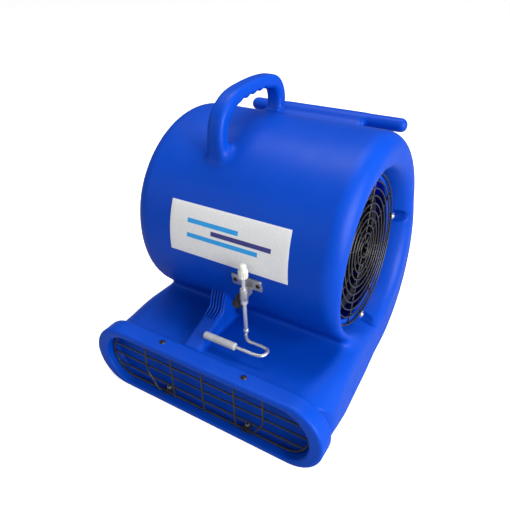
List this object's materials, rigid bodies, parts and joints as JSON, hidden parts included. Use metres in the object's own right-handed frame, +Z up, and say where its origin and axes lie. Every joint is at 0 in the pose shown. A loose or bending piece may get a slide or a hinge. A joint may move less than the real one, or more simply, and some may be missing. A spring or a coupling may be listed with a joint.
{
  "type": "air mover",
  "caption": "Blue moulded centrifugal air mover for drying carpets, with wire guards, carpet clamp, carry handle and rear stand bar.",
  "frame": {"origin": "centre of the bounding box's bottom face, on the floor", "axes": "+Z up, -Y out of the air outlet (front), +X towards the inlet on the machine's left-hand side as seen from behind"},
  "size_m": [0.45, 0.48, 0.5077],
  "materials": {
    "blue_poly": "satin",
    "label": "satin",
    "black_wire": "satin",
    "black_nylon": "matte",
    "dark_screw": "satin",
    "zinc": "satin",
    "galvanised": "matte",
    "brass": "satin",
    "rubber": "matte",
    "motor_paint": "satin",
    "cast_alloy": "matte",
    "lamination": "matte",
    "copper": "satin",
    "bearing_steel": "polished",
    "brushed_plate": "brushed",
    "cord_rubber": "matte",
    "strap": "matte",
    "grip_grey": "matte",
    "white_nylon": "satin"
  },
  "bodies": {
    "frame_body": {"housing": "blue_poly", "info_label": "label", "outlet_guard": "black_wire", "outlet_guard_clips": "black_nylon", "outlet_guard_screws": "dark_screw", "outlet_guard_nuts": "zinc", "inlet_guard_right": "black_wire", "inlet_guard_left": "black_wire", "inlet_screws_right": "zinc", "inlet_screws_left": "zinc", "inlet_washers": "zinc", "threaded_inserts": "brass", "motor_bracket": "galvanised", "motor_isolators": "rubber", "motor_mount_bolts": "zinc", "motor_shell": "motor_paint", "motor_drive_bell": "cast_alloy", "motor_rear_bell": "cast_alloy", "motor_through_bolts": "zinc", "motor_stator": "lamination", "stator_windings": "copper", "bearing_outer_races": "bearing_steel", "run_capacitor": "black_nylon", "capacitor_clip": "galvanised", "capacitor_screw": "dark_screw", "switch_plate": "brushed_plate", "switch_plate_screws": "dark_screw", "switch_body": "black_nylon", "switch_nut": "zinc", "internal_leads": "cord_rubber", "strain_relief": "black_nylon", "power_cord": "cord_rubber", "cord_strap": "strap", "plug_body": "black_nylon", "plug_pins": "brass", "clamp_bracket": "galvanised", "clamp_bracket_screws": "dark_screw"},
    "rotor": {"impeller_wheel": "black_nylon", "impeller_hub": "zinc", "hub_rivets": "zinc", "hub_set_screw": "dark_screw", "motor_shaft": "bearing_steel", "motor_rotor_core": "lamination", "bearing_inner_races": "bearing_steel"},
    "ball_sets": {"bearing_balls": "bearing_steel", "bearing_cages": "brass"},
    "speed_selector": {"speed_knob": "black_nylon", "switch_spindle": "zinc"},
    "clamp_lever": {"clamp_rod": "zinc", "clamp_grip": "grip_grey", "clamp_cap": "white_nylon", "clamp_collars": "zinc", "clamp_foot_stud": "zinc", "clamp_foot": "rubber"}
  },
  "joints": [
    {"name": "fan_spin", "type": "hinge", "parent": "frame_body", "child": "rotor", "pos_m": [0, 0.033, 0.236], "axis": [1, 0, 0], "continuous": true},
    {"name": "ball_spin", "type": "hinge", "parent": "frame_body", "child": "ball_sets", "pos_m": [0, 0.033, 0.236], "axis": [1, 0, 0], "continuous": true},
    {"name": "speed_select", "type": "hinge", "parent": "frame_body", "child": "speed_selector", "pos_m": [-0.118, 0.2, 0.25], "axis": [0, -1, 0], "range_deg": [0, 135]},
    {"name": "clamp_swing", "type": "hinge", "parent": "frame_body", "child": "clamp_lever", "pos_m": [0.043, -0.155, 0.13], "axis": [0, 0, 1], "range_deg": [-8, 100]}
  ],
  "couplings": [
    {"joint": "ball_spin", "follows": "fan_spin", "ratio": 0.375}
  ]
}
